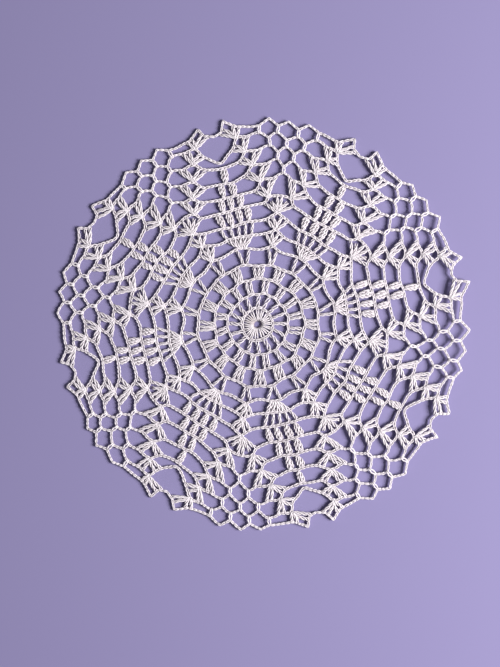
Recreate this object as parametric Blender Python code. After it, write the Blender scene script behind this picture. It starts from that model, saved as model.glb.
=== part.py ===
"""A round lace doily in pineapple crochet, worked in cotton from a starting ring outwards.

The doily is one thread from end to end, so it is one solid: a thin sheet that lies flat, with the
gaps between the stitches cut through and with the bobbles and the shell knots raised. Its chart is
one sector of 45 degrees, eight times round. A chart place is an angle and a radius: the angle is
counted from the axis of a pineapple, and the radius is in millimetres from the starting ring. Hand
work is never quite even, so a table of sixteen axes turns and stretches the chart a little.
"""

import math
from collections import namedtuple

import bmesh
import bpy
from mathutils import Vector
from mathutils.geometry import delaunay_2d_cdt

MM = 0.001
SECTORS = 8
SECTOR_DEG = 360 / SECTORS
NET_AXIS_DEG = SECTOR_DEG / 2

# Thicknesses, in millimetres.
SHEET = 1.3
BOBBLE_HEIGHT = 2.3
KNOT_HEIGHT = 1.8
VALLEY_HEIGHT = 0.9
HALF_THREAD = 0.82
MOST_MITRE = 1.35

# Where the starting ring lies when the finished doily's middle is the origin, in millimetres.
RING_X = -2.4
RING_Y = 0.55

# The rim stands off the table a little along one side, in millimetres and degrees.
LIFT = 1.6
LIFT_FROM = 55.0
LIFT_TO = 98.0
LIFT_TOWARDS_DEG = 5.0
LIFT_HALF_SPAN_DEG = 55.0

# The sixteen axes, pineapple and net in turn: the true angle near the ring and at the rim, and how
# far the points of the rim reach from the ring.
INNER_RADIUS = 36.0
RIM_RADIUS = 95.5
Axis = namedtuple("Axis", "inner_deg rim_deg reach")
AXES = (
    Axis(11.9, 14.1, 98.7),
    Axis(34.5, 36.1, 96.9),
    Axis(56.4, 58.6, 95.9),
    Axis(79.5, 81.6, 95.0),
    Axis(101.9, 103.3, 95.0),
    Axis(125.3, 125.4, 93.1),
    Axis(147.7, 148.1, 94.1),
    Axis(169.4, 170.6, 93.4),
    Axis(191.9, 195.1, 92.7),
    Axis(214.1, 217.2, 93.8),
    Axis(237.2, 241.9, 94.5),
    Axis(260.2, 264.6, 95.7),
    Axis(281.9, 287.1, 96.9),
    Axis(304.5, 309.1, 97.5),
    Axis(326.4, 331.4, 97.8),
    Axis(350.0, 352.3, 97.1),
)

# The starting ring, and the three rounds of single posts round it.
RING_HOLE = 1.75
RING_HOLE_SIDES = 10
SPOKES = 16
SPOKE_DEG = 360 / SPOKES
Spokes = namedtuple("Spokes", "round first_deg foot top foot_half_deg top_half_deg")
SPOKE_GAPS = (
    Spokes(3, SPOKE_DEG / 2, 13.7, 21.0, 7.4, 6.4),
    Spokes(4, 0.0, 21.0, 28.2, 7.4, 4.6),
)

# A V stitch stands on each pineapple's axis and on each net axis in round 5.
V_FOOT = 28.6
V_TOP = 36.2
V_FOOT_HALF_DEG = 2.0
V_TOP_HALF_DEG = 5.0

# Each side of a pineapple is a ladder of openings. One row is one round of it: where the round's
# chain leaves the pineapple (shoulder), hangs lowest (sag) and meets the shell (top of its outer
# pair), and where the pineapple (waist) and the shell (base) stand at the foot of the round.
Rung = namedtuple(
    "Rung",
    "round waist_deg waist base_deg base top_deg top sag_deg sag shoulder_deg shoulder",
)
RUNGS = (
    Rung(4, 1.8, 28.4, 20.7, 28.7, 16.0, 28.3, 8.0, 28.2, 1.8, 28.4),
    Rung(5, 1.8, 28.5, 20.7, 28.7, 19.0, 35.6, 12.0, 34.6, 5.2, 34.8),
    Rung(6, 3.4, 36.4, 20.5, 37.2, 17.7, 42.2, 12.8, 41.3, 8.0, 41.6),
    Rung(7, 7.6, 42.0, 20.6, 45.0, 17.7, 49.2, 13.6, 48.1, 10.2, 47.5),
    Rung(8, 8.4, 48.0, 20.4, 52.6, 15.9, 56.6, 12.0, 55.6, 8.4, 54.8),
    Rung(9, 5.5, 55.0, 17.0, 60.1, 12.3, 63.0, 8.7, 61.9, 5.5, 61.2),
    Rung(10, 3.2, 61.4, 14.0, 67.3, 9.3, 70.0, 6.3, 68.9, 3.2, 68.3),
    Rung(11, 0.8, 68.5, 11.3, 74.7, 7.3, 77.2, 4.0, 76.1, 0.8, 75.4),
    Rung(12, 0.3, 75.6, 8.9, 81.7, 5.3, 82.7, 2.3, 80.2, 0.3, 77.9),
)
VALLEY = 89.9
LAST_PAIR_DEG = 3.1
LAST_PAIR = 91.0

# The chain net between two columns of shells, counted in degrees from the net axis: where a round's
# single crochets stand, how high its loops peak, and the edge and the ends of its pair of posts.
NET_STEP_DEG = 2.85
NET_STITCH_HALF_DEG = 0.25
Row = namedtuple("Row", "round stitch_foot stitch_top peak edge_deg edge_foot edge_top")
ROWS = (
    Row(9, 60.6, 60.6, 70.6, 3.2, 60.4, 67.6),
    Row(10, 70.6, 73.2, 77.1, 6.2, 68.2, 74.5),
    Row(11, 77.1, 79.8, 83.0, 8.9, 75.0, 81.4),
    Row(12, 83.0, 85.9, 89.1, 11.4, 82.0, 88.0),
    Row(13, 89.1, 92.1, 94.3, 14.8, 88.0, 93.4),
)

# The rim's outline for half a sector, past the valley over a pineapple.
TIP_DEG = 3.7
TIP = 95.5
TIP_FLANK_DEG = 5.4
TIP_FLANK = 94.4

# The bobbles that fill a pineapple, a row for each round, and their size.
Bobbles = namedtuple("Bobbles", "round count step_deg foot top")
BOBBLES = (
    Bobbles(8, 4, 5.1, 48.1, 54.2),
    Bobbles(9, 3, 4.5, 55.2, 60.9),
    Bobbles(10, 2, 4.2, 61.8, 68.0),
    Bobbles(11, 1, 0.0, 69.0, 75.0),
)


def blend(start, end, share):
    return start + (end - start) * share


def smooth(share):
    share = min(max(share, 0.0), 1.0)
    return share * share * (3 - 2 * share)


def place(deg, radius):
    """The point of the finished doily where a chart place lies, in millimetres from its middle."""
    turns, share = divmod(deg / NET_AXIS_DEG, 1)
    here = AXES[int(turns) % len(AXES)]
    there = AXES[int(turns + 1) % len(AXES)]
    out = min(max((radius - INNER_RADIUS) / (RIM_RADIUS - INNER_RADIUS), 0.0), 1.0)
    from_deg = blend(here.inner_deg, here.rim_deg, out)
    to_deg = blend(there.inner_deg, there.rim_deg, out)
    step_deg = (to_deg - from_deg) % 360
    angle = math.radians(from_deg + step_deg * share)
    reach = blend(here.reach, there.reach, share)
    stretched = radius * (1 + (reach / RIM_RADIUS - 1) * out)
    return Vector((RING_X + stretched * math.cos(angle), RING_Y + stretched * math.sin(angle)))


def lift(point):
    """How far the doily's underside stands off the table at a point, in millimetres."""
    from_ring = point - Vector((RING_X, RING_Y))
    angle = math.degrees(math.atan2(from_ring.y, from_ring.x))
    off_axis = (angle - LIFT_TOWARDS_DEG + 180) % 360 - 180
    along = smooth((from_ring.length - LIFT_FROM) / (LIFT_TO - LIFT_FROM))
    return LIFT * along * smooth(1 - abs(off_axis) / LIFT_HALF_SPAN_DEG)


def mirrored(points, axis_deg):
    """The same outline on the other side of an axis, run the same way round."""
    return [(2 * axis_deg - deg, radius) for deg, radius in reversed(points)]


def spoke_gap(row, deg):
    return [
        (deg - row.foot_half_deg, row.foot),
        (deg + row.foot_half_deg, row.foot),
        (deg + row.top_half_deg, row.top),
        (deg - row.top_half_deg, row.top),
    ]


def v_gap(deg):
    return [
        (deg - V_FOOT_HALF_DEG, V_FOOT),
        (deg + V_FOOT_HALF_DEG, V_FOOT),
        (deg + V_TOP_HALF_DEG, V_TOP),
        (deg - V_TOP_HALF_DEG, V_TOP),
    ]


def rung_gap(below, rung):
    """The opening between two rounds' chains, beside a pineapple."""
    return [
        (rung.waist_deg, rung.waist),
        (below.sag_deg, below.sag),
        (below.top_deg, below.top),
        (rung.base_deg, rung.base),
        (rung.top_deg, rung.top),
        (rung.sag_deg, rung.sag),
        (rung.shoulder_deg, rung.shoulder),
    ]


def valley_gap():
    """The six-sided opening over a pineapple's point, inside the rim."""
    last = RUNGS[-1]
    half = [(last.top_deg, last.top), (LAST_PAIR_DEG * 2, blend(last.top, LAST_PAIR, 0.7))]
    half.append((LAST_PAIR_DEG, LAST_PAIR))
    foot = [(0.0, last.shoulder)]
    return foot + half + [(0.0, VALLEY)] + [(-deg, radius) for deg, radius in reversed(half)]


def net_diamond(below, row, centre_deg):
    """A net opening with a loop under each side and a stitch at each flank."""
    reach = NET_STEP_DEG - NET_STITCH_HALF_DEG
    return [
        (centre_deg, below.stitch_top),
        (centre_deg + reach, row.stitch_foot),
        (centre_deg + reach, row.stitch_top),
        (centre_deg, row.peak),
        (centre_deg - reach, row.stitch_top),
        (centre_deg - reach, row.stitch_foot),
    ]


def net_side(below, row, centre_deg):
    """A net opening that lies against a shell's pair of posts."""
    stitch_deg = centre_deg - NET_STEP_DEG + NET_STITCH_HALF_DEG
    return [
        (stitch_deg, row.stitch_foot),
        (below.edge_deg + NET_STITCH_HALF_DEG, row.edge_foot),
        (row.edge_deg, row.edge_foot),
        (row.edge_deg, row.edge_top),
        (centre_deg, row.peak),
        (stitch_deg, row.stitch_top),
    ]


def net_gaps():
    """Every opening of one net, in degrees from its axis."""
    first = ROWS[0]
    half = [(first.edge_deg, first.edge_foot), (first.edge_deg, first.edge_top)]
    gaps = [half + [(0.0, first.peak)] + mirrored(half, 0.0)]
    for count, (below, row) in enumerate(zip(ROWS, ROWS[1:])):
        for number in range(count):
            gaps.append(net_diamond(below, row, (2 * number - count + 1) * NET_STEP_DEG))
        if row is not ROWS[-1]:
            side = net_side(below, row, (count + 1) * NET_STEP_DEG)
            gaps += [side, mirrored(side, 0.0)]
    return gaps


def long_gap():
    """The flat opening under the rim's long chain, in degrees from the net axis."""
    row = ROWS[-1]
    stitch_deg = 3 * NET_STEP_DEG + NET_STITCH_HALF_DEG
    return [
        (stitch_deg, blend(row.stitch_foot, row.stitch_top, 0.5)),
        (row.edge_deg, row.edge_foot),
        (row.edge_deg, row.edge_top),
        (stitch_deg, row.stitch_top),
    ]


def sector_gaps():
    """Every opening of one sector from round 5 outwards, as chart outlines."""
    gaps = [v_gap(0.0), valley_gap()]
    for below, rung in zip(RUNGS, RUNGS[1:]):
        gap = rung_gap(below, rung)
        gaps += [gap, mirrored(gap, 0.0)]
    for gap in net_gaps() + [long_gap(), mirrored(long_gap(), 0.0)]:
        gaps.append([(NET_AXIS_DEG + deg, radius) for deg, radius in gap])
    return gaps


def rim_half():
    """The rim from the valley over a pineapple to the net axis."""
    last = ROWS[-1]
    points = [(0.0, VALLEY), (LAST_PAIR_DEG, LAST_PAIR), (TIP_DEG, TIP), (TIP_FLANK_DEG, TIP_FLANK)]
    points.append((NET_AXIS_DEG - last.edge_deg, last.edge_top))
    for number in (3, 1):
        points.append((NET_AXIS_DEG - number * NET_STEP_DEG, last.stitch_top))
        points.append((NET_AXIS_DEG - (number - 1) * NET_STEP_DEG, last.peak))
    return points


def offset(outline, distance):
    """The outline moved to its right, which is outwards on an anticlockwise one; blunt corners."""
    moved = []
    for number, point in enumerate(outline):
        before = (point - outline[number - 1]).normalized()
        after = (outline[(number + 1) % len(outline)] - point).normalized()
        right = Vector((before.y + after.y, -before.x - after.x)).normalized()
        mitre = math.sqrt(2 / (1 + before.dot(after)))
        moved.append(point + right * (distance * min(mitre, MOST_MITRE)))
    return moved


def outlines():
    """The rim, and then every opening, as rings of points of the finished doily."""
    rim = []
    gaps = []
    for sector in range(SECTORS):
        turn = sector * SECTOR_DEG
        half = rim_half()
        for deg, radius in half + mirrored(half, NET_AXIS_DEG)[1:-1]:
            rim.append(place(turn + deg, radius))
        for gap in sector_gaps():
            gaps.append([place(turn + deg, radius) for deg, radius in gap])
    for row in SPOKE_GAPS:
        for number in range(SPOKES):
            gap = spoke_gap(row, row.first_deg + number * SPOKE_DEG)
            gaps.append([place(deg, radius) for deg, radius in gap])
    hole = []
    for number in range(RING_HOLE_SIDES):
        hole.append(place(number * 360 / RING_HOLE_SIDES, RING_HOLE))
    return offset(rim, HALF_THREAD), [hole] + [offset(gap, HALF_THREAD)[::-1] for gap in gaps]


def relief():
    """Points inside the sheet's top: (point, height) on bobbles, between them and on the knots."""
    spots = []
    for sector in range(SECTORS):
        turn = sector * SECTOR_DEG
        for row in BOBBLES:
            first_deg = turn - row.step_deg * (row.count - 1) / 2
            for number in range(row.count):
                deg = first_deg + number * row.step_deg
                for share in (0.3, 0.7):
                    spots.append((place(deg, blend(row.foot, row.top, share)), BOBBLE_HEIGHT))
                if number:
                    between_deg = deg - row.step_deg / 2
                    middle = blend(row.foot, row.top, 0.5)
                    spots.append((place(between_deg, middle), VALLEY_HEIGHT))
        for rung in RUNGS[2:]:
            if rung.round < 9:
                spots.append((place(turn + NET_AXIS_DEG, rung.base), KNOT_HEIGHT))
            else:
                spots.append((place(turn + rung.base_deg, rung.base), KNOT_HEIGHT))
                spots.append((place(turn - rung.base_deg, rung.base), KNOT_HEIGHT))
    return spots


def doily_mesh():
    """The closed sheet: a triangulated top, the same underneath, and walls round every edge."""
    rim, gaps = outlines()
    points = []
    rings = []
    for ring in [rim] + gaps:
        rings.append(list(range(len(points), len(points) + len(ring))))
        points += ring
    on_edges = len(points)
    spots = relief()
    points += [point for point, height in spots]
    placed, _, faces, sources, _, ring_sources = delaunay_2d_cdt(points, [], rings, 1, 1e-5)
    heights = [SHEET] * len(placed)
    for number, came_from in enumerate(sources):
        if came_from and came_from[0] >= on_edges:
            heights[number] = spots[came_from[0] - on_edges][1]
    shape = bmesh.new()
    tops = []
    bottoms = []
    for point, height in zip(placed, heights):
        rise = lift(point)
        tops.append(shape.verts.new((point.x * MM, point.y * MM, (rise + height) * MM)))
        bottoms.append(shape.verts.new((point.x * MM, point.y * MM, rise * MM)))
    sides = set()
    for face, inside in zip(faces, ring_sources):
        if list(inside) == [0]:
            shape.faces.new([tops[number] for number in face])
            shape.faces.new([bottoms[number] for number in reversed(face)])
            sides.update(zip(face, face[1:] + face[:1]))
    for here, there in sorted(sides):
        if (there, here) not in sides:
            shape.faces.new((bottoms[here], bottoms[there], tops[there], tops[here]))
    loose = [vert for vert in shape.verts if not vert.link_faces]
    bmesh.ops.delete(shape, geom=loose, context="VERTS")
    mesh = bpy.data.meshes.new("doily")
    shape.to_mesh(mesh)
    shape.free()
    return mesh


def cotton():
    material = bpy.data.materials.new("cotton")
    material.use_nodes = True
    shader = material.node_tree.nodes["Principled BSDF"]
    shader.inputs["Base Color"].default_value = (0.80, 0.76, 0.74, 1)
    shader.inputs["Roughness"].default_value = 0.85
    shader.inputs["Metallic"].default_value = 0.0
    return material


for leftover in list(bpy.data.objects):
    bpy.data.objects.remove(leftover)
doily = bpy.data.objects.new("doily", doily_mesh())
doily.data.materials.append(cotton())
bpy.context.scene.collection.objects.link(doily)
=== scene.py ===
import math
import random
from collections import namedtuple

import bmesh
import bpy
import numpy as np
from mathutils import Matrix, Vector, noise


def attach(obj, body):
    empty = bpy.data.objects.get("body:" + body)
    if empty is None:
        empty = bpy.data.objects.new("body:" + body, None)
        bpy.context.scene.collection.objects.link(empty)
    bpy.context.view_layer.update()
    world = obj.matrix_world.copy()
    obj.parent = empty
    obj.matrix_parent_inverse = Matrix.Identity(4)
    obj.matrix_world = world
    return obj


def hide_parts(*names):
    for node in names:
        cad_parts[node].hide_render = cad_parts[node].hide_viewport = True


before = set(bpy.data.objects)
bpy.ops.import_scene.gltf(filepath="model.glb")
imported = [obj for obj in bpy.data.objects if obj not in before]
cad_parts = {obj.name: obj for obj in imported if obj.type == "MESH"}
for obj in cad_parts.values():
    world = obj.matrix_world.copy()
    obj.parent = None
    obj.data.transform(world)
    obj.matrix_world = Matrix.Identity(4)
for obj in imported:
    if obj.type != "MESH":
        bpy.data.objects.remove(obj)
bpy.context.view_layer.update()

# The rosette
# The doily is crocheted in one go from a single mercerised cotton thread. It starts from a small
# ring, and its first four rounds are plain posts: sixteen, sixteen, sixteen pairs, sixteen threes.

# Lengths are in millimetres until a piece is worked, and angles in degrees.
MM = 0.001

# Hand work is never quite even, but these seeds make the same doily each time.
HAND_SEED = 13
WANDER_SEED = 2
hand = random.Random(HAND_SEED)
noise.seed_set(WANDER_SEED)

# Where the ring lies, and how the hand-worked doily turns and stretches its even chart: the true
# angle of each pineapple and net axis near the ring and at the rim, how far the rim reaches, and
# how far the middle rounds are pulled out, or in where it is less than nothing.
RING_X = -2.4
RING_Y = 0.55
INNER_RADIUS = 36.0
RIM_RADIUS = 95.5
NET_AXIS_DEG = 22.5
PULL_RADII = (30.0, 58.0, 72.0, RIM_RADIUS)
PULL_SHARES = (0.0, 1.0, 1.0, 0.0)
Axis = namedtuple("Axis", "inner_deg rim_deg reach pull")
AXES = (
    Axis(11.9, 14.5, 98.7, -0.8),
    Axis(34.5, 36.0, 97.1, 0.7),
    Axis(56.0, 58.7, 95.7, 0.0),
    Axis(79.3, 81.2, 95.0, 0.2),
    Axis(102.0, 103.5, 94.2, -1.4),
    Axis(125.7, 125.6, 92.9, -0.8),
    Axis(148.1, 148.6, 93.9, -0.4),
    Axis(169.2, 171.1, 93.4, 0.2),
    Axis(191.5, 195.0, 92.5, 0.1),
    Axis(214.1, 217.2, 93.8, 0.0),
    Axis(236.9, 242.3, 94.1, -0.6),
    Axis(260.3, 265.3, 96.0, 0.7),
    Axis(281.9, 287.6, 96.8, 1.1),
    Axis(304.1, 308.7, 97.9, 0.5),
    Axis(326.7, 331.4, 97.8, 0.0),
    Axis(350.1, 352.4, 97.1, 0.0),
)

# How far the middle of each inner round drifts from the ring.
Drift = namedtuple("Drift", "radius across up")
DRIFTS = (
    Drift(0.0, -0.2, -0.45),
    Drift(14.0, 0.1, -0.55),
    Drift(21.0, 0.5, -0.6),
    Drift(28.0, 0.5, -0.8),
    Drift(35.0, 0.4, -0.5),
    Drift(45.0, 0.0, 0.0),
)

# The doily stands off the table by a hair on one side, and more along that side's rim.
TILT = 0.6
TILT_FROM = -40.0
TILT_TO = 75.0
LIFT = 1.2
LIFT_FROM = 76.0
LIFT_TO = 100.0
LIFT_TOWARDS_DEG = 5.0
LIFT_HALF_SPAN_DEG = 55.0


def blend(start, end, share):
    return start + (end - start) * share


def place(deg, radius, height=0.0):
    """Where a chart place lies: an angle from a pineapple's axis, and millimetres from the ring."""
    turns, share = divmod(deg / NET_AXIS_DEG, 1)
    here = AXES[int(turns) % len(AXES)]
    there = AXES[int(turns + 1) % len(AXES)]
    out = min(max((radius - INNER_RADIUS) / (RIM_RADIUS - INNER_RADIUS), 0.0), 1.0)
    from_deg = blend(here.inner_deg, here.rim_deg, out)
    to_deg = blend(there.inner_deg, there.rim_deg, out)
    angle = math.radians(from_deg + (to_deg - from_deg) % 360 * share)
    stretched = radius * (1 + (blend(here.reach, there.reach, share) / RIM_RADIUS - 1) * out)
    stretched += blend(here.pull, there.pull, share) * np.interp(radius, PULL_RADII, PULL_SHARES)
    radii, across_drifts, up_drifts = np.array(DRIFTS).T
    x = RING_X + stretched * math.cos(angle) + np.interp(radius, radii, across_drifts)
    y = RING_Y + stretched * math.sin(angle) + np.interp(radius, radii, up_drifts)
    return np.array((x, y, height))


def smooth(share):
    share = np.clip(share, 0, 1)
    return share * share * (3 - 2 * share)


def lift(points):
    """How far the doily stands off the table at each point."""
    from_ring = points[:, :2] - (RING_X, RING_Y)
    off_axis = np.degrees(np.arctan2(from_ring[:, 1], from_ring[:, 0])) - LIFT_TOWARDS_DEG
    off_axis = (off_axis + 180) % 360 - 180
    along = smooth((np.hypot(*from_ring.T) - LIFT_FROM) / (LIFT_TO - LIFT_FROM))
    rim_lift = LIFT * along * smooth(1 - np.abs(off_axis) / LIFT_HALF_SPAN_DEG)
    return rim_lift + TILT * smooth((points[:, 0] - TILT_FROM) / (TILT_TO - TILT_FROM))


# The thread's half width, how much thinner or thicker a strand may be, the length in which its plies
# turn once, its sides as a tube, and how far and over what length it wanders from the chart.
THREAD = 0.3
EVENNESS = (0.93, 1.07)
PLY_LENGTH = 1.5
SIDES = 6
WANDER = (1.0, 1.0, 0.15)
WANDER_LENGTH = 8.5
QUAD_CORNERS = 4


def laid_down(points, widths):
    """A strand's points as it lies, never under the table, and how far each of them is lifted."""
    wander = [noise.noise_vector(Vector(point) / WANDER_LENGTH) for point in points]
    points = points + np.array(wander) * WANDER
    lifted = lift(points)
    points[:, 2] = np.maximum(points[:, 2], THREAD * widths) + lifted
    return points, lifted


def closed_ends(mesh):
    """Fills both ends of every strand, and shades it round."""
    ends = bmesh.new()
    ends.from_mesh(mesh)
    open_edges = [edge for edge in ends.edges if edge.is_boundary]
    bmesh.ops.holes_fill(ends, edges=open_edges, sides=SIDES)
    for face in ends.faces:
        face.smooth = True
    ends.to_mesh(mesh)
    ends.free()


class Skein:
    """The strands of one piece: points in millimetres and the thread's relative width at each."""

    def __init__(self):
        self.strands = []

    def lay(self, points, widths):
        self.strands.append((np.array(points), np.array(widths) * hand.uniform(*EVENNESS)))

    def marked(self, mesh, lifts):
        """Gives a mesh its strands' tones, its heights over the table that the cotton's painted
        shade follows, and UVs that count the turns of the plies.
        """
        sizes = np.array([len(points) for points, _ in self.strands])
        tones = [hand.random() for _ in sizes]
        tone = mesh.attributes.new("tone", "FLOAT", "POINT")
        tone.data.foreach_set("value", np.repeat(tones, sizes * SIDES))
        corners = np.empty(len(mesh.vertices) * 3)
        mesh.vertices.foreach_get("co", corners)
        # Each point's height over the table, which the cotton paints darker the lower it lies:
        # painted shade.
        heights = corners[2::3] / MM - np.repeat(np.concatenate(lifts), SIDES)
        height = mesh.attributes.new("height", "FLOAT", "POINT")
        height.data.foreach_set("value", heights)
        steps = [np.linalg.norm(np.diff(points, axis=0), axis=1) for points, _ in self.strands]
        plies = np.array([step.sum() for step in steps]) / PLY_LENGTH
        unwrapped = np.empty((len(mesh.loops), 2), np.float32)
        mesh.uv_layers[0].uv.foreach_get("vector", unwrapped.ravel())
        unwrapped[:, 1] *= np.repeat(plies, (sizes - 1) * SIDES * QUAD_CORNERS)
        mesh.uv_layers[0].uv.foreach_set("vector", unwrapped.ravel())

    def worked(self, name):
        """One mesh of all the strands, each a closed tube."""
        curve = bpy.data.curves.new(name, "CURVE")
        curve.dimensions = "3D"
        curve.bevel_depth = THREAD * MM
        curve.bevel_resolution = SIDES // 2 - 2
        lifts = []
        for points, widths in self.strands:
            points, lifted = laid_down(points, widths)
            lifts.append(lifted)
            spline = curve.splines.new("POLY")
            spline.points.add(len(points) - 1)
            spline.points.foreach_set("co", np.c_[points * MM, np.ones(len(points))].ravel())
            spline.points.foreach_set("radius", widths)
        maker = bpy.data.objects.new(name, curve)
        bpy.context.scene.collection.objects.link(maker)
        graph = bpy.context.evaluated_depsgraph_get()
        mesh = bpy.data.meshes.new_from_object(maker.evaluated_get(graph))
        mesh.name = name
        bpy.data.objects.remove(maker)
        self.marked(mesh, lifts)
        closed_ends(mesh)
        piece = bpy.data.objects.new(name, mesh)
        bpy.context.scene.collection.objects.link(piece)
        return piece


# A strand of a stitch follows a few bends. Each gives the share of the way along the stitch, how
# far aside and how high over the table the strand is there, and its width, where the thread is 1.
Bend = namedtuple("Bend", "way sideways height width")

# A chain: each stitch is a teardrop that comes up through the one before it, and a strand runs
# behind them all. Stitches differ in how loose and high they are, and slip along and aside.
STITCH = 2.05
TEARDROP = (
    Bend(-0.24, 0.08, 0.58, 0.85),
    Bend(0.08, 0.30, 1.02, 1.0),
    Bend(0.45, 0.44, 1.12, 1.0),
    Bend(0.84, 0.42, 0.90, 1.0),
    Bend(1.12, 0.0, 0.62, 0.95),
)
STITCH_LOOSE = (0.84, 1.14)
STITCH_HIGH = (0.92, 1.06)
STITCH_SLIP = 0.06
STITCH_ASIDE = 0.05
BEHIND_STEP = 1.0
BEHIND_HEIGHT = 0.52
BEHIND_WIDTH = 1.3
BEHIND_SWING = 0.08
CORNER_CUT = 0.25


def eased(route, passes):
    """The route with its corners rounded: each pass cuts a quarter off each side of a corner."""
    for _ in range(passes):
        cut = [route[0]]
        for here, there in zip(route, route[1:]):
            cut += [blend(here, there, CORNER_CUT), blend(here, there, 1 - CORNER_CUT)]
        route = cut + [route[-1]]
    return np.array(route)


def there_and_back(values, sign=1):
    """A teardrop's values up one side and down the other, where the sign may turn them round."""
    return np.r_[values, sign * values[-2::-1]]


def chain(skein, route, stitch=STITCH, passes=2, slack=1.0):
    """Chain stitches along a route of places, wider where they are slack."""
    route = eased(route, passes)[:, :2]
    run = np.r_[0, np.cumsum(np.linalg.norm(np.diff(route, axis=0), axis=1))]
    headings = np.gradient(route, run, axis=0)
    headings /= np.linalg.norm(headings, axis=1)[:, None]
    count = max(1, round(run[-1] / stitch))
    step = run[-1] / count

    def at(stitches, sideways, heights):
        """Places beside the route, so many stitches along it. Past an end they go straight on."""
        wanted = stitches * step
        heading = np.array([np.interp(wanted, run, part) for part in headings.T]).T
        over = (wanted - np.clip(wanted, 0, run[-1]))[:, None]
        flat = np.array([np.interp(wanted, run, part) for part in route.T]).T + heading * over
        flat += np.c_[-heading[:, 1], heading[:, 0]] * sideways[:, None]
        return np.c_[flat, heights]

    ways, sideways, heights, widths = np.array(TEARDROP).T
    for number in range(count):
        loose = hand.uniform(*STITCH_LOOSE)
        slip = hand.uniform(-STITCH_SLIP, STITCH_SLIP)
        aside = hand.uniform(-STITCH_ASIDE, STITCH_ASIDE)
        high = hand.uniform(*STITCH_HIGH)
        stitches = number + there_and_back(ways) + slip
        beside = there_and_back(sideways * slack, -1) * loose + aside
        skein.lay(at(stitches, beside, there_and_back(heights) * high), there_and_back(widths))
    steps = max(2, round(run[-1] / BEHIND_STEP))
    stitches = np.linspace(0, count, steps + 1)
    swing = BEHIND_SWING * np.sin(stitches * math.pi * 2)
    behind = at(stitches, swing, np.full(steps + 1, BEHIND_HEIGHT))
    skein.lay(behind, np.full(steps + 1, BEHIND_WIDTH))


# A post, which is a double crochet: three strands laid round each other like a cord. Its bends give
# the half width of the cord, which narrows to a neck and then opens into the chain over it. Posts
# differ in how full they are, in the turn at which they start, and in how far they bow.
LEG = (
    Bend(-0.10, 0.54, 0.40, 0.85),
    Bend(0.06, 0.52, 0.84, 0.95),
    Bend(0.26, 0.47, 1.02, 0.98),
    Bend(0.62, 0.50, 1.02, 0.98),
    Bend(0.80, 0.64, 0.96, 0.98),
    Bend(0.92, 0.34, 0.84, 0.80),
    Bend(1.04, 0.56, 0.50, 0.80),
)
POST_STRANDS = 3
POST_STEPS = 10
POST_FULL = (0.9, 1.12)
POST_START = (0.02, 0.15)
POST_BOW = 0.12
LAY_LENGTH = 8.0
FLATTENED = 0.6
SWELL_POWER = 0.8


def across(along):
    """The level direction square to another."""
    return np.array((-along[1], along[0], 0.0)) / math.hypot(along[0], along[1])


def strand(skein, foot, top, rows, side=1, bulge=0.0, rise=0.0):
    """One strand between foot and top, which may bulge to one side and rise in its middle."""
    ways, sideways, heights, widths = np.array(rows).T
    swell = np.sin(math.pi * np.clip(ways, 0, 1)) ** SWELL_POWER
    points = foot + (top - foot) * ways[:, None]
    points += across(top - foot) * (side * sideways + bulge * swell)[:, None]
    points[:, 2] += heights + rise * swell
    skein.lay(points, widths)


def post(skein, foot, top, rows=LEG, spread=1.0):
    """A post's strands, wider where it is spread."""
    ways, halves, heights, widths = np.array(rows).T
    steps = np.linspace(ways[0], ways[-1], POST_STEPS)
    half = np.interp(steps, ways, halves) * spread * hand.uniform(*POST_FULL)
    height = np.interp(steps, ways, heights)
    width = np.interp(steps, ways, widths)
    turns = np.linalg.norm(top - foot) / LAY_LENGTH
    start = hand.uniform(*POST_START)
    bow = hand.uniform(-POST_BOW, POST_BOW)
    for number in range(POST_STRANDS):
        angle = (start + number / POST_STRANDS + (steps - 1) * turns) * 2 * math.pi
        high = height + FLATTENED * half * np.sin(angle)
        strand(skein, foot, top, np.c_[steps, half * np.cos(angle), high, width], 1, bow)


def group(skein, foot, foot_width, top, top_width, count):
    """Posts side by side, close at the foot and apart at the top."""
    side_way = across(top - foot)
    for number in range(count):
        share = number / (count - 1) - 0.5
        bottom = foot + side_way * foot_width * share
        post(skein, bottom, top + side_way * top_width * share)


# The ring and rounds 1 to 4. A round's posts stand every step of the chart, in ones to threes, and
# its chain runs over their tops, drawn in a little at each.
RING = 2.15
RING_TURNS = (0.0, 0.4)
RING_HEIGHT = 0.35
RING_STEP_DEG = 15
SPOKES = 16
SPOKE_DEG = 360 / SPOKES
SPOKE_WANDER_DEG = 0.6
SPOKE_SPREAD = 1.3
Spokes = namedtuple("Spokes", "posts first_deg foot top foot_width top_width chain stitches")
SPOKE_ROUNDS = (
    Spokes(1, 11.25, 1.95, 6.7, 0.0, 0.0, 7.1, 16),
    Spokes(1, 11.25, 7.3, 13.5, 0.0, 0.0, 13.9, 32),
    Spokes(2, 0.0, 14.2, 20.5, 1.5, 2.15, 20.9, 48),
    Spokes(3, 11.25, 21.1, 27.7, 2.5, 4.3, 28.1, 64),
)
SCALLOP = 0.28
SCALLOP_STEPS = 6

# A post of round 1 grips the ring: two strands side by side, one of them sunk a little at its ends,
# and one strand under them.
HUB_LEG = (
    Bend(-0.10, 0.18, 0.30, 0.60),
    Bend(0.02, 0.20, 1.10, 0.66),
    Bend(0.22, 0.30, 1.26, 0.86),
    Bend(0.42, 0.34, 1.16, 1.00),
    Bend(0.60, 0.46, 1.22, 1.06),
    Bend(0.82, 0.50, 1.06, 1.08),
    Bend(1.02, 0.64, 0.50, 0.85),
)
HUB_UNDER = (
    Bend(0.0, 0.0, 0.66, 0.8),
    Bend(0.25, 0.06, 0.80, 1.1),
    Bend(0.48, -0.06, 0.62, 1.2),
    Bend(0.74, 0.0, 0.34, 1.0),
)
HUB_SUNK = 0.16
HUB_BOW = 0.16
HUB_WAVE = 0.1
HUB_RISE = (-0.15, 0.1)


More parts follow.
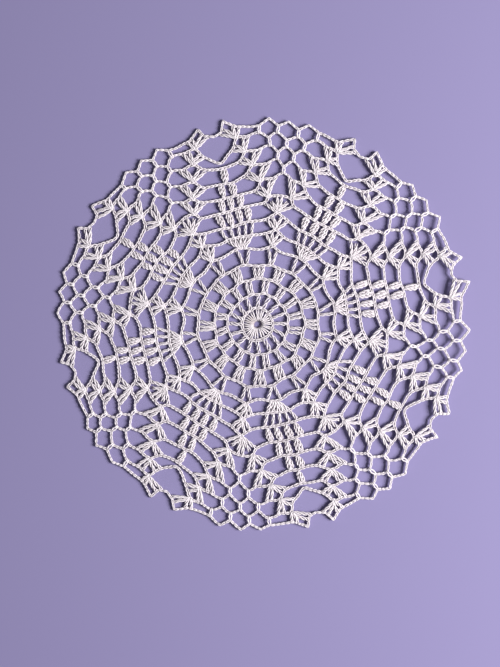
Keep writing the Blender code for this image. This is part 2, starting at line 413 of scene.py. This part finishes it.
def hub_post(skein, foot, top):
    bow = hand.uniform(-HUB_BOW, HUB_BOW)
    strand(skein, foot, top, HUB_UNDER, 1, bow)
    for side, sunk in ((-1, 0.0), (1, HUB_SUNK)):
        rows = [bend._replace(height=bend.height - sunk) for bend in HUB_LEG]
        wave = bow + hand.uniform(-HUB_WAVE, HUB_WAVE)
        strand(skein, foot, top, rows, side, wave, sunk + hand.uniform(*HUB_RISE))


def scalloped(radius, low_deg):
    """A round chain that is drawn in at each post of its round, the first of them at low_deg."""
    places = []
    for deg in np.arange(SPOKES * SCALLOP_STEPS + 1) * SPOKE_DEG / SCALLOP_STEPS:
        swell = -math.cos(math.radians((deg - low_deg) * SPOKES))
        places.append(place(deg, radius + SCALLOP * swell))
    return places


rosette = Skein()
rounds = Skein()
for turn in RING_TURNS:
    loop = [place(deg, RING + turn, RING_HEIGHT) for deg in range(0, 361, RING_STEP_DEG)]
    rounds.lay(loop, np.ones(len(loop)))
for spokes in SPOKE_ROUNDS:
    for number in range(SPOKES):
        wander_deg = hand.uniform(-SPOKE_WANDER_DEG, SPOKE_WANDER_DEG)
        deg = spokes.first_deg + number * SPOKE_DEG + wander_deg
        foot = place(deg, spokes.foot)
        top = place(deg, spokes.top)
        if spokes.foot < RING:
            hub_post(rosette, foot, top)
        elif spokes.posts == 1:
            post(rosette, foot, top, spread=SPOKE_SPREAD)
        else:
            group(rosette, foot, spokes.foot_width, top, spokes.top_width, spokes.posts)
    stitch = 2 * math.pi * spokes.chain / spokes.stitches
    chain(rounds, scalloped(spokes.chain, spokes.first_deg), stitch, 0)
rosette_piece = rosette.worked("doily_rosette")


class Shader:
    """A wrapped socket, so that shader maths is written as expressions."""

    def __init__(self, tree, socket=None):
        self.tree = tree
        self.socket = socket

    def node(self, kind, settings=None, output=0, **values):
        """Adds a node, sets its settings and inputs, and returns one of its outputs, wrapped."""
        added = self.tree.nodes.new(kind)
        for name, value in (settings or {}).items():
            setattr(added, name, value)
        for name, value in values.items():
            key = int(name[1:]) if name[0] == "_" else name
            if isinstance(value, Shader):
                self.tree.links.new(value.socket, added.inputs[key])
            else:
                added.inputs[key].default_value = value
        return Shader(self.tree, added.outputs[output])

    def beside(self, output):
        """Another output of the same node."""
        return Shader(self.tree, self.socket.node.outputs[output])

    def feeds(self, socket):
        self.tree.links.new(self.socket, socket)

    def maths(self, operation, *terms):
        values = {f"_{number}": term for number, term in enumerate(terms)}
        return self.node("ShaderNodeMath", {"operation": operation}, **values)

    def __add__(self, other):
        return self.maths("ADD", self, other)

    def __radd__(self, other):
        return self.maths("ADD", other, self)

    def __sub__(self, other):
        return self.maths("SUBTRACT", self, other)

    def __rsub__(self, other):
        return self.maths("SUBTRACT", other, self)

    def __mul__(self, other):
        return self.maths("MULTIPLY", self, other)

    def __rmul__(self, other):
        return self.maths("MULTIPLY", other, self)

    def wave(self):
        """From 0 to 1 and back for each whole turn."""
        return self.maths("SINE", self * (2 * math.pi)) * 0.5 + 0.5

    def clamped(self):
        return self.node("ShaderNodeClamp", Value=self)


# Mercerised cotton of three plies, creamy white, with a faint tan stain beside the ring. Shade is
# painted into its colour: it is rosier and duller the lower a spot lies, down between the strands,
# and darker in the grooves between plies. How light a spot is adds up from how high it is (painted
# shade), its ply (painted shade in its grooves), its fibres, its strand's own tone and soft patches,
# less the shade that all of it has.
CREAM = (0.90, 0.83, 0.86, 1)
DEEP_PAINTED_SHADE = (0.26, 0.18, 0.24, 1)
TAN = (0.42, 0.27, 0.16, 1)
PAINTED_SHADE_FULL_HEIGHT = 0.48
PAINTED_SHADE_END_HEIGHT = 1.25
PLIES = 3
FIBRES = {"Scale": 2600.0, "Detail": 3.0}
PATCHES = {"Scale": 60.0, "Detail": 2.0}
HEIGHT_PAINTED_SHADE = 0.75
PLY_GROOVE_PAINTED_SHADE = 0.2
FIBRE_LIGHT = 0.15
TONE_LIGHT = 0.1
PATCH_LIGHT = 0.2
SHADE = 0.12
STAIN = (RING_X - 3.0, RING_Y + 0.9, 0.0)
STAIN_RADIUS = 2.8
STAIN_DEPTH = 1.1
ROUGHNESS = 0.85
PLY_GLOSS = 0.2
PLY_RELIEF = 0.8
FIBRE_RELIEF = 0.5
RELIEF_METRES = 0.00009
LUSTRE = {"Sheen Weight": 0.15, "Sheen Roughness": 0.4, "Specular IOR Level": 0.3}


def cotton():
    material = bpy.data.materials.new("cotton")
    material.use_nodes = True
    tree = material.node_tree
    thread = tree.nodes["Principled BSDF"].inputs
    spot = Shader(tree).node("ShaderNodeTexCoord", output="Object")
    round_it = spot.node("ShaderNodeSeparateXYZ", output="X", Vector=spot.beside("UV"))
    # The ply's stripes paint shade into the grooves between plies, and also set the thread's gloss
    # and relief.
    ply = (round_it * PLIES + round_it.beside("Y")).wave()
    fibre = spot.node("ShaderNodeTexNoise", Vector=spot, **FIBRES)
    patch = spot.node("ShaderNodeTexNoise", Vector=spot, **PATCHES)
    tone = spot.node("ShaderNodeAttribute", {"attribute_name": "tone"}, "Fac")
    height = spot.node("ShaderNodeAttribute", {"attribute_name": "height"}, "Fac")
    # Painted shade: the colour runs from the deep rose low down between the strands to cream on top,
    # by height alone.
    out_of_painted_shade = ((height - PAINTED_SHADE_FULL_HEIGHT) * (1 / (PAINTED_SHADE_END_HEIGHT - PAINTED_SHADE_FULL_HEIGHT))).clamped()
    # Height and the ply's grooves add painted shade; fibres, tone and patches are the cotton's own.
    painted_shade_and_tone = out_of_painted_shade * HEIGHT_PAINTED_SHADE + ply * PLY_GROOVE_PAINTED_SHADE + fibre * FIBRE_LIGHT
    painted_shade_and_tone = (painted_shade_and_tone + tone * TONE_LIGHT + patch * PATCH_LIGHT - SHADE).clamped()
    colours = {"data_type": "RGBA"}
    # The mix of painted shade and the cotton's own tone, before the stain.
    unstained_with_painted_shade = spot.node("ShaderNodeMix", colours, 2, _0=painted_shade_and_tone, _6=DEEP_PAINTED_SHADE, _7=CREAM)
    centre = [way * MM for way in STAIN]
    apart = {"operation": "DISTANCE"}
    away = spot.node("ShaderNodeVectorMath", apart, "Value", _0=spot, _1=centre)
    stain = (1.0 - away * (1 / (STAIN_RADIUS * MM))).clamped() * fibre * STAIN_DEPTH
    stained = spot.node("ShaderNodeMix", colours, 2, _0=stain, _6=unstained_with_painted_shade, _7=TAN)
    stained.feeds(thread["Base Color"])
    (ROUGHNESS - ply * PLY_GLOSS).feeds(thread["Roughness"])
    relief = ply * PLY_RELIEF + fibre * FIBRE_RELIEF
    spot.node("ShaderNodeBump", Height=relief, Distance=RELIEF_METRES).feeds(thread["Normal"])
    for name, value in LUSTRE.items():
        thread[name].default_value = value
    return material


COTTON = cotton()


def finished(piece):
    """Gives a piece its cotton, and puts it on the doily in place of the plain sheet."""
    piece.data.materials.clear()
    piece.data.materials.append(COTTON)
    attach(piece, "root")
    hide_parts("doily")


finished(rosette_piece)

# The pineapples
# Each pineapple is a V stitch, a fan of five posts, a crown of five posts with a chain between
# them, and then rows of four, three, two and one bobbles, drawn together at both ends.

SECTORS = 8
SECTOR_DEG = 2 * NET_AXIS_DEG
V_FOOT = 28.9
V_TOP = 35.6
V_FOOT_DEG = 1.5
V_TOP_DEG = 4.4
FAN_POSTS = 5
FAN_FOOT = 36.6
FAN_TOP = 41.3
FAN_FOOT_STEP_DEG = 1.25
FAN_TOP_STEP_DEG = 3.6
CROWN_FOOT = 42.2
CROWN_TOP = 47.2
CROWN_FOOT_STEP_DEG = 3.8
CROWN_TOP_STEP_DEG = 4.9

# The fan's posts hook over the chain under them, close together, and are fullest near the top.
FAN_LEG = (
    Bend(-0.17, 0.08, 0.40, 0.8),
    Bend(-0.04, 0.14, 1.06, 0.9),
    Bend(0.16, 0.30, 1.10, 1.0),
    Bend(0.40, 0.52, 1.00, 1.15),
    Bend(0.68, 0.66, 0.96, 1.2),
    Bend(0.88, 0.70, 0.88, 1.1),
    Bend(1.03, 0.76, 0.48, 0.9),
)

# The rows of bobbles, from the crown outwards.
Bobbles = namedtuple("Bobbles", "count step_deg foot top")
BOBBLE_ROWS = (
    Bobbles(4, 5.1, 48.0, 54.3),
    Bobbles(3, 4.6, 55.1, 61.0),
    Bobbles(2, 4.2, 61.9, 68.1),
    Bobbles(1, 0.0, 69.0, 75.2),
)

# A bobble: three posts of two strands twisted half a turn apart. They share a foot and a top and
# bulge apart, over two fat strands that fill the bobble's back, and all are thickest in the middle.
Swell = namedtuple("Swell", "way spread height")
BOBBLE = (
    Swell(-0.07, 0.16, 0.45),
    Swell(0.06, 0.34, 0.85),
    Swell(0.24, 0.80, 1.0),
    Swell(0.48, 1.12, 1.0),
    Swell(0.72, 1.20, 1.0),
    Swell(0.90, 0.92, 0.9),
    Swell(1.03, 0.56, 0.5),
)
BOBBLE_STEPS = 14
BOBBLE_PLUMP = 0.3
BOBBLE_LEAN = 0.15
BOBBLE_SIZE = (0.92, 1.08)
BOBBLE_END_WIDTH = 0.9
BOBBLE_POWER = 3
BACK_SHARES = (-0.55, 0.55)
BACK_HEIGHT = 0.55
BACK_SWELL = 0.6
TWIST_SHARES = (-1, 0, 1)
TWIST_HALF = 0.37
TWIST_LENGTH = 3.7
TWIST_STEP = 0.3
TWIST_STARTS = (0.0, 0.5)
TWIST_SWELL = 0.2
TWIST_END = 0.55
TWIST_MIDDLE = 0.45


def bobble(skein, foot, top):
    ways, spreads, heights = np.array(BOBBLE).T
    steps = np.linspace(ways[0], ways[-1], BOBBLE_STEPS)
    spread = np.interp(steps, ways, spreads)
    height = np.interp(steps, ways, heights)
    middle = 1 - np.abs(2 * (steps - ways[0]) / (ways[-1] - ways[0]) - 1) ** BOBBLE_POWER
    turns = np.linalg.norm(top - foot) / TWIST_LENGTH
    lean = hand.uniform(-BOBBLE_LEAN, BOBBLE_LEAN) * middle
    size = hand.uniform(*BOBBLE_SIZE)
    for share in BACK_SHARES:
        sideways = spread * share * size + lean
        low = np.minimum(height, BACK_HEIGHT)
        width = BOBBLE_END_WIDTH + BACK_SWELL * middle
        strand(skein, foot, top, np.c_[steps, sideways, low, width])
    for share in TWIST_SHARES:
        phase = hand.uniform(0.0, 1.0) + share * TWIST_STEP
        for start in TWIST_STARTS:
            angle = (phase + start + steps * turns) * 2 * math.pi
            sideways = spread * share * size + lean
            sideways += TWIST_HALF * np.cos(angle) * (TWIST_END + TWIST_MIDDLE * middle)
            high = height + BOBBLE_PLUMP * (1 - abs(share)) * middle
            high += TWIST_HALF * np.sin(angle) * middle
            width = BOBBLE_END_WIDTH + TWIST_SWELL * middle
            strand(skein, foot, top, np.c_[steps, sideways, high, width])


pineapples = Skein()
for sector in range(SECTORS):
    axis = sector * SECTOR_DEG
    for side in (-1, 1):
        foot = place(axis + side * V_FOOT_DEG, V_FOOT)
        post(pineapples, foot, place(axis + side * V_TOP_DEG, V_TOP))
    for number in range(FAN_POSTS):
        step = number - (FAN_POSTS - 1) / 2
        foot = place(axis + step * FAN_FOOT_STEP_DEG, FAN_FOOT)
        post(pineapples, foot, place(axis + step * FAN_TOP_STEP_DEG, FAN_TOP), FAN_LEG)
        foot = place(axis + step * CROWN_FOOT_STEP_DEG, CROWN_FOOT)
        post(pineapples, foot, place(axis + step * CROWN_TOP_STEP_DEG, CROWN_TOP))
    for row in BOBBLE_ROWS:
        for number in range(row.count):
            deg = axis + (number - (row.count - 1) / 2) * row.step_deg
            bobble(pineapples, place(deg, row.foot), place(deg, row.top))
finished(pineapples.worked("doily_pineapples"))

# The rounds' chains beside the pineapples
# From round 5 on, each round's chain leaves the pineapple's shoulder, sags, crosses the top of the
# shell's outer pair of posts, and carries the next shell.

# The places on a round's way: the foot of its shell, the top of its outer pair, the sag, the
# shoulder and the middle over the pineapple, in degrees from the axis and millimetres from the ring.
Rung = namedtuple(
    "Rung",
    "round base_deg base top_deg top sag_deg sag shoulder_deg shoulder middle",
)
RUNGS = (
    Rung(5, 20.7, 28.7, 19.2, 35.6, 12.0, 34.6, 4.6, 36.0, 36.2),
    Rung(6, 22.5, 37.2, 17.7, 42.2, 12.8, 41.3, 8.0, 41.6, 41.9),
    Rung(7, 22.5, 45.0, 17.7, 49.2, 13.6, 48.1, 10.2, 47.5, 47.8),
    Rung(8, 22.5, 52.6, 15.9, 56.6, 12.0, 55.6, 8.4, 54.8, 54.9),
    Rung(9, 17.0, 60.1, 12.3, 63.0, 8.7, 61.9, 5.5, 61.2, 61.5),
    Rung(10, 14.0, 67.3, 9.3, 70.0, 6.3, 68.9, 3.2, 68.3, 68.6),
    Rung(11, 11.3, 74.7, 7.3, 77.2, 4.0, 76.1, 0.8, 75.4, 75.5),
    Rung(12, 8.9, 81.7, 5.4, 83.1, 2.9, 80.2, 0.8, 77.8, 77.6),
)

# The net between two columns of shells, counted in degrees from the net axis: where each round's
# single crochets stand, how high its loops peak, and where its inner pair of posts ends.
Row = namedtuple("Row", "round stitch_foot stitch_top peak edge_deg edge_top")
NET_STEP_DEG = 2.85
ROWS = (
    Row(9, 60.4, 60.4, 70.6, 3.8, 67.4),
    Row(10, 70.6, 73.2, 77.1, 6.6, 74.3),
    Row(11, 77.1, 79.8, 83.0, 9.5, 81.2),
    Row(12, 83.0, 85.9, 89.1, 12.5, 87.6),
    Row(13, 89.1, 92.1, 95.1, 15.4, 92.1),
)
NET_START = ROWS[0].stitch_foot

# The round at which a column of shells splits in two, how far below a shell's foot the chain under
# it runs before that, and where the last round's shell stands.
SPLIT_ROUND = 8
LAST_ROUND = 13
UNDER_SHELL = 0.5
LAST_BASE_DEG = 6.6
LAST_BASE = 88.1

bases = {rung.round: (rung.base_deg, rung.base) for rung in RUNGS}
bases[LAST_ROUND] = (LAST_BASE_DEG, LAST_BASE)
inner_ends = {row.round: (NET_AXIS_DEG - row.edge_deg, row.edge_top) for row in ROWS}


def both_ways(points):
    """A route on both sides of a net axis, from places given as (degrees, radius)."""
    mirrored = [(SECTOR_DEG - deg, radius) for deg, radius in reversed(points)]
    return points, mirrored


for sector in range(SECTORS):
    axis = sector * SECTOR_DEG
    for rung in RUNGS:
        points = [(0.0, rung.middle), (rung.shoulder_deg, rung.shoulder)]
        points += [(rung.sag_deg, rung.sag), (rung.top_deg, rung.top)]
        base_deg, base = bases[rung.round + 1]
        if rung.round < SPLIT_ROUND:
            points.append((NET_AXIS_DEG, base - UNDER_SHELL))
        elif rung.round == SPLIT_ROUND:
            points += [(base_deg, base), (NET_AXIS_DEG, NET_START)]
        else:
            points += [(base_deg, base), inner_ends[rung.round]]
        for half in both_ways(points):
            chain(rounds, [place(axis + deg, radius) for deg, radius in half])
rounds_piece = rounds.worked("doily_rounds")
finished(rounds_piece)

# The shells
# A shell is two posts, two chains and two posts, all worked into the chains of the shell below.
# At round 8 a third pair splits the column in two, and the two columns part round the net.

# A shell's posts are fuller than plain ones. They hook over the chain that they are worked into,
# and above their neck they open wide into the chain that crosses them.
OVER_LEG = (
    Bend(-0.17, 0.14, 0.40, 0.85),
    Bend(-0.04, 0.20, 1.14, 0.95),
    Bend(0.12, 0.32, 1.18, 1.05),
    Bend(0.34, 0.50, 1.08, 1.14),
    Bend(0.62, 0.56, 1.08, 1.18),
    Bend(0.76, 0.60, 1.06, 1.14),
    Bend(0.85, 0.40, 1.02, 0.96),
    Bend(0.95, 0.66, 1.04, 0.96),
    Bend(1.06, 0.70, 0.62, 0.85),
)

# How far apart the two posts of a pair are at foot and top, and how far short of the chain they end.
PAIR_FOOT = 0.95
PAIR_TOP = 2.8
PAIR_SHORT = 0.05

# Round 5 starts each column with a V. The pairs over it are counted from the chains that cross
# them: how far towards the net and out, and how far their foot sinks into the shell below.
START_FOOT_DEG = 1.3
START_TOP_DEG = 3.0
START_SHORT = 0.4
SHELL_ROUNDS = (6, 7, 8)
SHELL_SUNK = 0.3
SHELL_TOP_IN_DEG = 1.2
SHELL_TOP_OUT = 0.3
SPLIT_TOP = 60.0
COLUMN_SUNK = 0.2

# The last shell: its outer pair's top, its pointed tip, and the valley over the pineapple.
LAST_PAIR_DEG = 2.5
LAST_PAIR = 91.4
TIP_DEG = 3.6
TIP = 95.9
VALLEY = 89.9


def pair(skein, foot, top, along):
    """Two posts from one foot, with their tops side by side along the chain that crosses them."""
    along = along / np.linalg.norm(along)
    for side in (-1, 1):
        start = foot + along * (side * PAIR_FOOT / 2)
        end = top + along * (side * PAIR_TOP / 2)
        end -= (end - start) * (PAIR_SHORT / np.linalg.norm(end - start))
        post(skein, start, end, OVER_LEG)


def mirrored_place(net, side, deg, radius):
    """A place counted from a pineapple's axis, on one side or the other of a net axis."""
    return place(net + side * (NET_AXIS_DEG - deg), radius)


rungs = {rung.round: rung for rung in RUNGS}
shells = Skein()
for sector in range(SECTORS):
    net = sector * SECTOR_DEG + NET_AXIS_DEG
    for side in (-1, 1):
        foot = place(net + side * START_FOOT_DEG, V_FOOT)
        post(shells, foot, place(net + side * START_TOP_DEG, V_TOP - START_SHORT))
    for number in SHELL_ROUNDS:
        rung = rungs[number]
        above = rungs[number + 1]
        foot = place(net, rung.base - SHELL_SUNK)
        for side in (-1, 1):
            top_deg = rung.top_deg + SHELL_TOP_IN_DEG
            top = mirrored_place(net, side, top_deg, rung.top + SHELL_TOP_OUT)
            along = mirrored_place(net, side, NET_AXIS_DEG, above.base - UNDER_SHELL)
            along = along - mirrored_place(net, side, rung.sag_deg, rung.sag)
            pair(shells, foot, top, along)
    foot = place(net, rungs[SPLIT_ROUND].base - SHELL_SUNK)
    along = place(net + 1, SPLIT_TOP) - place(net - 1, SPLIT_TOP)
    pair(shells, foot, place(net, NET_START), along)
    for count, row in enumerate(ROWS):
        if row.round == LAST_ROUND:
            outer = (LAST_PAIR_DEG, LAST_PAIR)
            before_outer = (0.0, VALLEY)
            after_outer = (TIP_DEG, TIP)
            after_inner = (NET_AXIS_DEG - (count - 1) * NET_STEP_DEG, row.stitch_top)
        else:
            rung = rungs[row.round]
            outer = (rung.top_deg, rung.top)
            before_outer = (rung.sag_deg, rung.sag)
            after_outer = bases[row.round + 1]
            after_inner = (NET_AXIS_DEG - count * NET_STEP_DEG, row.peak)
        base_deg, base = bases[row.round]
        for side in (-1, 1):
            foot = mirrored_place(net, side, base_deg, base - COLUMN_SUNK)
            past_outer = mirrored_place(net, side, *after_outer)
            along = past_outer - mirrored_place(net, side, *before_outer)
            pair(shells, foot, mirrored_place(net, side, *outer), along)
            along = mirrored_place(net, side, *after_inner) - past_outer
            pair(shells, foot, mirrored_place(net, side, *inner_ends[row.round]), along)
finished(shells.worked("doily_shells"))

# The net
# Loops of chain fill the space between two columns of shells, with one more in each round. Each is
# caught by a single crochet, whose two short legs grip the loop below and close under the next.

NET_SLACK = 0.8
LEG_BOW = 0.32
SINGLE_LEG = (
    Bend(-0.34, 0.24, 0.36, 0.85),
    Bend(-0.16, 0.30, 1.26, 1.15),
    Bend(0.14, 0.37, 1.28, 1.25),
    Bend(0.42, 0.64, 1.08, 1.25),
    Bend(0.70, 0.44, 1.10, 1.25),
    Bend(1.00, 0.26, 1.10, 1.1),
    Bend(1.20, 0.02, 0.45, 0.8),
)


def net_chain(skein, route):
    """A chain of the net or the rim: its stitches are tighter, and its corners stay sharp."""
    chain(skein, route, STITCH, 0, NET_SLACK)


def bowed(route):
    """The route with each leg bowed a little outwards, away from the ring."""
    points = [route[0]]
    for here, there in zip(route, route[1:]):
        middle = blend(here, there, 0.5)
        out = middle - place(0.0, 0.0)
        points += [middle + out * (LEG_BOW / np.linalg.norm(out)), there]
    return points


def single(skein, foot, top):
    for side in (-1, 1):
        strand(skein, foot, top, SINGLE_LEG, side)


net_loops = Skein()
for sector in range(SECTORS):
    net = sector * SECTOR_DEG + NET_AXIS_DEG
    for count, row in enumerate(ROWS[:-1]):
        route = [(-row.edge_deg, row.edge_top)]
        for number in range(count + 1):
            route.append(((2 * number - count) * NET_STEP_DEG, row.peak))
            if number < count:
                route.append(((2 * number - count + 1) * NET_STEP_DEG, row.stitch_top))
        route.append((row.edge_deg, row.edge_top))
        marks = [0, *range(2, len(route) - 1, 2), len(route) - 1]
        for start, end in zip(marks, marks[1:]):
            loop = [place(net + deg, radius) for deg, radius in route[start : end + 1]]
            net_chain(net_loops, bowed(loop))
        for number in range(count):
            deg = net + (2 * number - count + 1) * NET_STEP_DEG
            single(net_loops, place(deg, row.stitch_foot), place(deg, row.stitch_top))
finished(net_loops.worked("doily_net"))

# The rim
# The last round: loops over the net, a long chain to the last shell, a pointed picot between its
# two pairs of posts, and a short chain across the valley over each pineapple.

# Where the single crochets of a net stand and its loops peak, in half steps of the net.
SINGLE_STEPS = (-3, -1, 1, 3)
LOOP_STEPS = (-2, 0, 2)

rim = Skein()
last = ROWS[-1]
for sector in range(SECTORS):
    net = sector * SECTOR_DEG + NET_AXIS_DEG
    for step in SINGLE_STEPS:
        deg = net + step * NET_STEP_DEG
        single(rim, place(deg, last.stitch_foot), place(deg, last.stitch_top))
    for step in LOOP_STEPS:
        start = place(net + (step - 1) * NET_STEP_DEG, last.stitch_top)
        peak = place(net + step * NET_STEP_DEG, last.peak)
        end = place(net + (step + 1) * NET_STEP_DEG, last.stitch_top)
        net_chain(rim, [start, peak, end])
    for side in (-1, 1):
        start = place(net + side * SINGLE_STEPS[-1] * NET_STEP_DEG, last.stitch_top)
        inner = place(net + side * last.edge_deg, last.edge_top)
        tip = mirrored_place(net, side, TIP_DEG, TIP)
        outer = mirrored_place(net, side, LAST_PAIR_DEG, LAST_PAIR)
        valley = mirrored_place(net, side, 0.0, VALLEY)
        for ends in ((start, inner), (inner, tip), (tip, outer), (outer, valley)):
            net_chain(rim, ends)
finished(rim.worked("doily_rim"))

# All six pieces are one thread, so they are one sheet, worked flat and laid flat. The cotton alone,
# without the gaps, covers a little under half of the round.

# The floor, the light and the camera
# A plain lilac floor, a soft light low on the right and a weak even light, and a camera straight
# above. Their sizes and places are in metres.

FLOOR_HALF = 2.0
FLOOR_COLOUR = (0.27, 0.235, 0.43, 1)
FLOOR_ROUGHNESS = 0.9
floor_shape = bmesh.new()
bmesh.ops.create_grid(floor_shape, x_segments=1, y_segments=1, size=FLOOR_HALF)
floor_mesh = bpy.data.meshes.new("floor")
floor_shape.to_mesh(floor_mesh)
floor_shape.free()
floor = bpy.data.objects.new("floor", floor_mesh)
bpy.context.scene.collection.objects.link(floor)
floor_material = bpy.data.materials.new("floor")
floor_material.use_nodes = True
floor_finish = floor_material.node_tree.nodes["Principled BSDF"].inputs
floor_finish["Base Color"].default_value = FLOOR_COLOUR
floor_finish["Roughness"].default_value = FLOOR_ROUGHNESS
floor_mesh.materials.append(floor_material)

KEY_TOWARDS_DEG = -8
KEY_RISE_DEG = 36
KEY_AWAY = 1.1
KEY_SIZE = 0.5
KEY_POWER = 22.5
key_data = bpy.data.lights.new("key", "AREA")
key_data.shape = "SQUARE"
key_data.size = KEY_SIZE
key_data.energy = KEY_POWER
key = bpy.data.objects.new("key", key_data)
key_towards = math.radians(KEY_TOWARDS_DEG)
key_rise = math.radians(KEY_RISE_DEG)
key_out = KEY_AWAY * math.cos(key_rise)
key.location.x = key_out * math.cos(key_towards)
key.location.y = key_out * math.sin(key_towards)
key.location.z = KEY_AWAY * math.sin(key_rise)
key.rotation_euler = key.location.to_track_quat("Z", "Y").to_euler()
bpy.context.scene.collection.objects.link(key)

SKY_COLOUR = (0.86, 0.88, 1.0, 1)
SKY_STRENGTH = 0.17
sky = bpy.data.worlds.new("studio")
sky.use_nodes = True
sky.node_tree.nodes["Background"].inputs["Color"].default_value = SKY_COLOUR
sky.node_tree.nodes["Background"].inputs["Strength"].default_value = SKY_STRENGTH
bpy.context.scene.world = sky

VIEW_HEIGHT_MM = 309.1
VIEW_CENTRE_MM = (-6.0, -4.2)
CAMERA_HEIGHT = 0.7
SENSOR = 36.0
camera_data = bpy.data.cameras.new("camera")
camera_data.sensor_fit = "VERTICAL"
camera_data.sensor_height = SENSOR
camera_data.lens = SENSOR * CAMERA_HEIGHT / (VIEW_HEIGHT_MM * MM)
camera = bpy.data.objects.new("camera", camera_data)
camera.location = (VIEW_CENTRE_MM[0] * MM, VIEW_CENTRE_MM[1] * MM, CAMERA_HEIGHT)
bpy.context.scene.collection.objects.link(camera)
bpy.context.scene.camera = camera
bpy.context.scene.view_settings.view_transform = "Standard"
